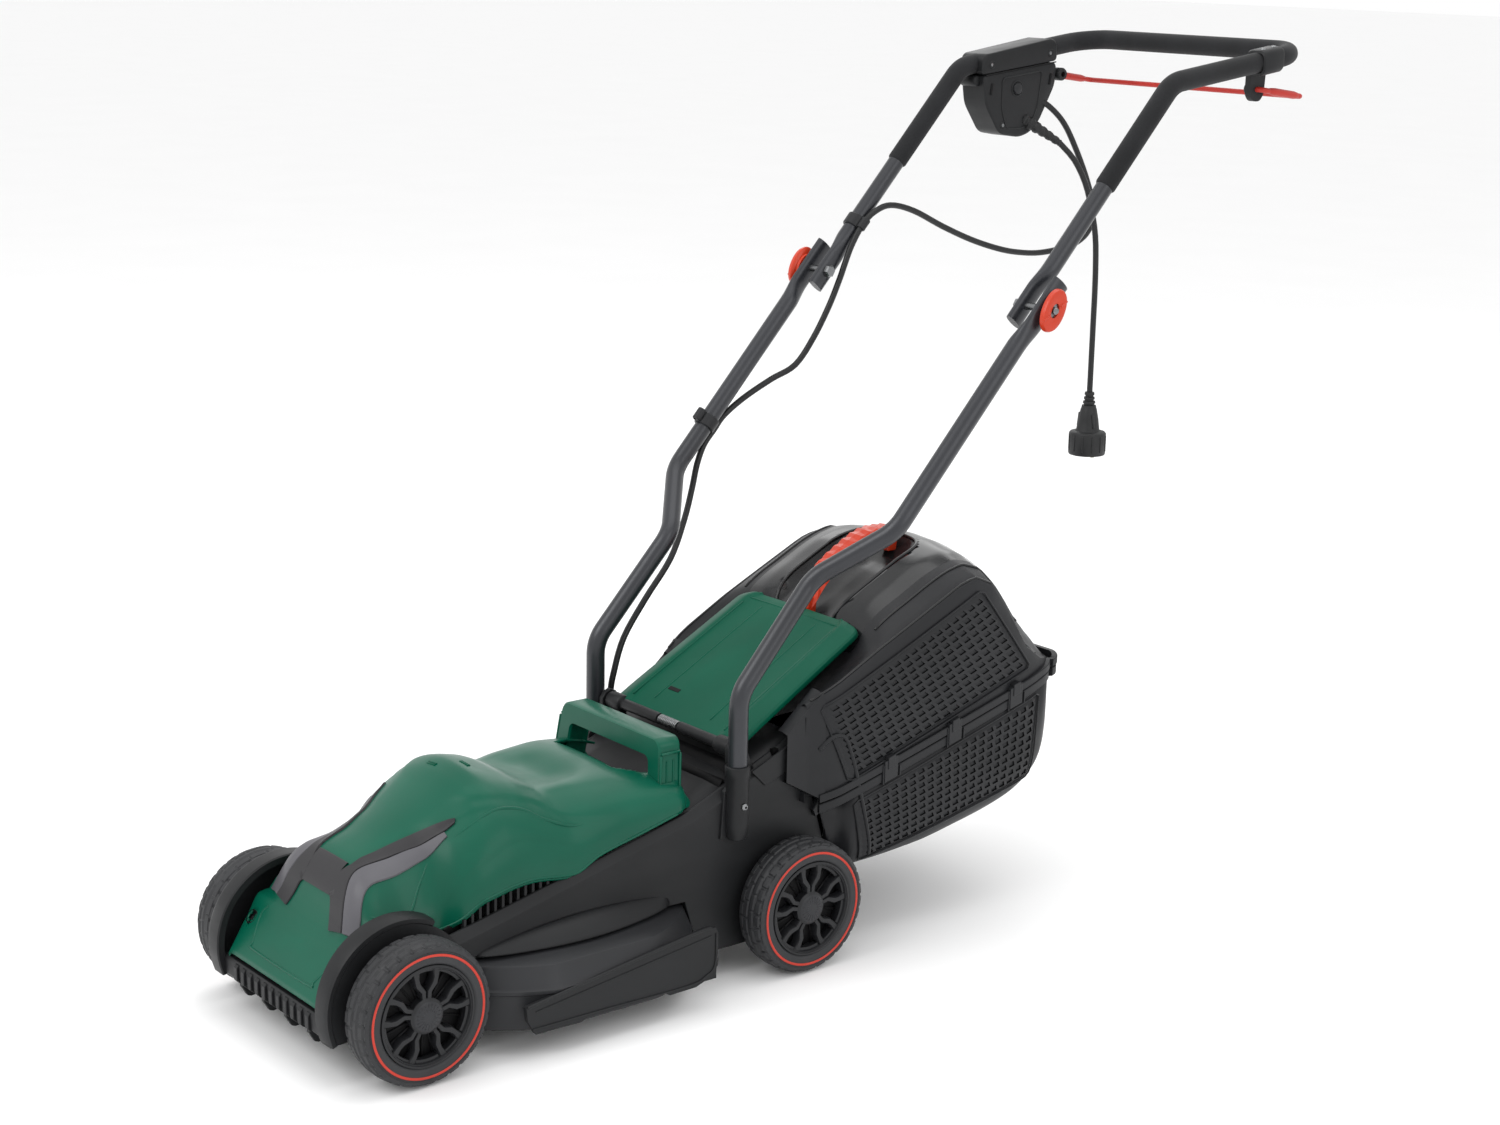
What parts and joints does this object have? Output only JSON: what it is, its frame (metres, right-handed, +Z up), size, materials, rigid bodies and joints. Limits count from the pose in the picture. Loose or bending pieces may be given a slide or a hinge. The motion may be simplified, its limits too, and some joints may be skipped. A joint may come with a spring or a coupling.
{
  "type": "electric rotary lawn mower",
  "caption": "Corded electric rotary mower on four wheels, with a rear grass box, a sprung flap, a folding tube handle and a red switch lever.",
  "frame": {"origin": "on the ground, midway between the two axles and between the wheels", "axes": "+Z up, +Y back towards the operator, +X towards the mower's left-hand side as its operator stands"},
  "size_m": [0.417, 1.2241, 0.936],
  "materials": {
    "green_plastic": "semi-gloss moulded",
    "dark_green_plastic": "satin moulded",
    "black_plastic": "fine satin texture",
    "gloss_black_plastic": "glossy moulded",
    "grey_trim": "satin",
    "light_trim": "satin",
    "tube_paint": "satin powder coat",
    "grip_foam": "matte",
    "zinc_steel": "zinc plated",
    "blade_steel": "ground steel",
    "motor_can": "plain",
    "bearing_steel": "polished",
    "copper_iron": "lacquered winding",
    "tyre_plastic": "matte tread",
    "rim_plastic": "satin",
    "red_plastic": "semi-gloss",
    "red_lever": "coated rod",
    "red_stripe": "satin",
    "cable_pvc": "satin",
    "plug_rubber": "matte",
    "brass_pins": "nickel plated",
    "switch_body": "plain"
  },
  "bodies": {
    "deck": {"deck_shell": "black_plastic", "motor_cover": "green_plastic", "cover_trim": "grey_trim", "trim_inlays": "light_trim", "vent_grilles": "black_plastic", "motor_housing": "motor_can", "motor_bearings": "bearing_steel", "flap_pin": "zinc_steel", "flap_spring": "zinc_steel", "lower_tube_left": "tube_paint", "lower_tube_right": "tube_paint", "deck_screws": "zinc_steel", "handle_bolts": "zinc_steel", "cable_clip_lower": "rim_plastic", "motor_cable_lower": "cable_pvc"},
    "rotor": {"armature": "copper_iron", "blade_carrier": "rim_plastic", "blade": "blade_steel", "blade_bolt": "zinc_steel"},
    "front_axle": {"front_axle": "zinc_steel"},
    "rear_axle": {"rear_axle": "zinc_steel"},
    "flap": {"flap": "dark_green_plastic"},
    "catcher": {"catcher_lower": "black_plastic", "catcher_upper": "gloss_black_plastic", "catcher_grip": "red_plastic", "catcher_clips": "rim_plastic"},
    "upper_handle": {"upper_handle": "tube_paint", "grip_sleeve": "grip_foam", "switch_shell_top": "black_plastic", "switch_shell_bottom": "black_plastic", "switch_core": "switch_body", "bail_bracket": "rim_plastic", "handle_screws": "zinc_steel", "cable_clip_upper": "rim_plastic", "motor_cable_upper": "cable_pvc", "power_lead": "cable_pvc", "strain_relief": "plug_rubber", "plug_body": "plug_rubber", "plug_pins": "brass_pins"},
    "bail": {"bail_lever": "red_lever"},
    "knob_left": {"knob_left": "red_plastic"},
    "knob_right": {"knob_right": "red_plastic"},
    "lock_button": {"lock_button": "red_plastic"},
    "wheel_fl": {"tyre_fl": "tyre_plastic", "rim_fl": "rim_plastic", "stripe_fl": "red_stripe", "cap_fl": "rim_plastic"},
    "wheel_fr": {"tyre_fr": "tyre_plastic", "rim_fr": "rim_plastic", "stripe_fr": "red_stripe", "cap_fr": "rim_plastic"},
    "wheel_rl": {"tyre_rl": "tyre_plastic", "rim_rl": "rim_plastic", "stripe_rl": "red_stripe", "cap_rl": "rim_plastic"},
    "wheel_rr": {"tyre_rr": "tyre_plastic", "rim_rr": "rim_plastic", "stripe_rr": "red_stripe", "cap_rr": "rim_plastic"}
  },
  "joints": [
    {"name": "blade_spin", "type": "hinge", "parent": "deck", "child": "rotor", "pos_m": [0, -0.03, 0.095], "axis": [0, 0, 1], "continuous": true},
    {"name": "front_height", "type": "slide", "parent": "deck", "child": "front_axle", "axis": [0, 0, 1], "range_m": [-0.02, 0.02]},
    {"name": "rear_height", "type": "slide", "parent": "deck", "child": "rear_axle", "axis": [0, 0, 1], "range_m": [-0.02, 0.02]},
    {"name": "flap_hinge", "type": "hinge", "parent": "deck", "child": "flap", "pos_m": [0, 0.168, 0.238], "axis": [1, 0, 0], "range_deg": [0, 68], "stiffness_Nm_per_rad": 0.3, "springref_deg": -28.65},
    {"name": "catcher_slide", "type": "slide", "parent": "deck", "child": "catcher", "axis": [0, 1, 0], "range_m": [0, 0.42]},
    {"name": "handle_fold", "type": "hinge", "parent": "deck", "child": "upper_handle", "pos_m": [0, 0.499, 0.671], "axis": [1, 0, 0], "range_deg": [0, 140]},
    {"name": "bail_pull", "type": "hinge", "parent": "upper_handle", "child": "bail", "pos_m": [0, 0.845, 0.883], "axis": [1, 0, 0], "range_deg": [0, 27], "stiffness_Nm_per_rad": 1, "springref_deg": -14.32},
    {"name": "lock_press", "type": "slide", "parent": "upper_handle", "child": "lock_button", "axis": [-1, 0, 0], "range_m": [0, 0.004], "stiffness_N_per_m": 400, "springref_m": -0.001},
    {"name": "knob_left_turn", "type": "hinge", "parent": "deck", "child": "knob_left", "pos_m": [0, 0.499, 0.671], "axis": [1, 0, 0], "continuous": true},
    {"name": "knob_right_turn", "type": "hinge", "parent": "deck", "child": "knob_right", "pos_m": [0, 0.499, 0.671], "axis": [1, 0, 0], "continuous": true},
    {"name": "wheel_fl_spin", "type": "hinge", "parent": "front_axle", "child": "wheel_fl", "pos_m": [0, -0.229, 0.07], "axis": [1, 0, 0], "continuous": true},
    {"name": "wheel_fr_spin", "type": "hinge", "parent": "front_axle", "child": "wheel_fr", "pos_m": [0, -0.229, 0.07], "axis": [1, 0, 0], "continuous": true},
    {"name": "wheel_rl_spin", "type": "hinge", "parent": "rear_axle", "child": "wheel_rl", "pos_m": [0, 0.229, 0.07], "axis": [1, 0, 0], "continuous": true},
    {"name": "wheel_rr_spin", "type": "hinge", "parent": "rear_axle", "child": "wheel_rr", "pos_m": [0, 0.229, 0.07], "axis": [1, 0, 0], "continuous": true}
  ]
}
